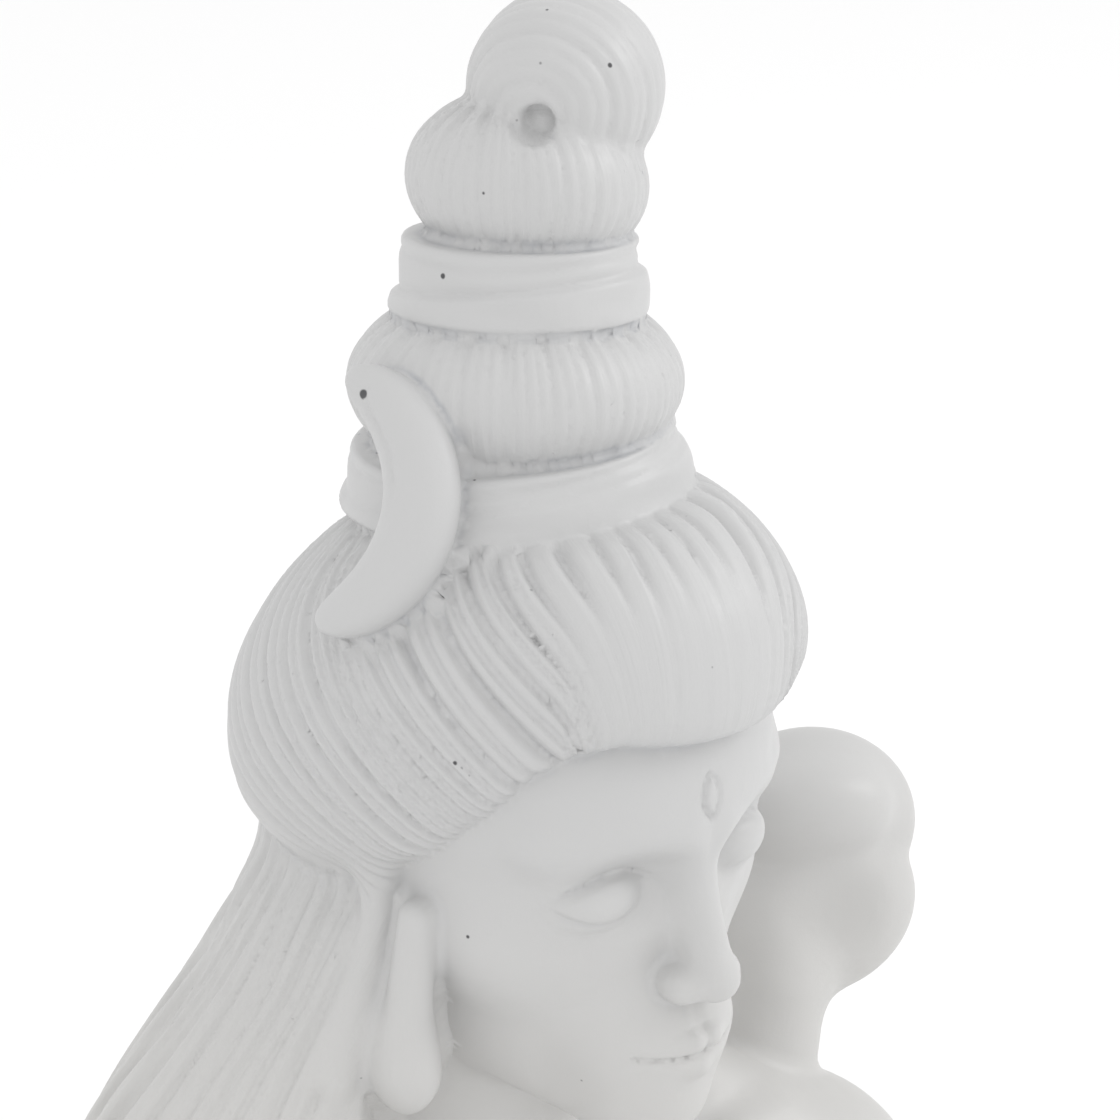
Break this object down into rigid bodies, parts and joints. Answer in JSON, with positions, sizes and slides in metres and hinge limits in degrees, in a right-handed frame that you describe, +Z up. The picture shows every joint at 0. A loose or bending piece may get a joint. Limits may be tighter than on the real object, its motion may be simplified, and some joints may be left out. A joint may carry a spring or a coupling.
{
  "type": "shiva bust",
  "caption": "Satin white cast bust of a bowed, calm deity: hair in bound tiers under a knot, crescent moon at the temple, cobra hood behind the shoulder, flat underside.",
  "frame": {"origin": "in the middle of the flat underside, under the neck", "axes": "+Z up, the face towards -Y, the figure's right side and its crescent at -X, the cobra at +X"},
  "size_m": [0.1916, 0.1013, 0.2224],
  "materials": {
    "white_resin": "satin white paint over cast polyresin"
  },
  "bodies": {
    "root": {"shiva_bust": "white_resin"}
  },
  "joints": []
}
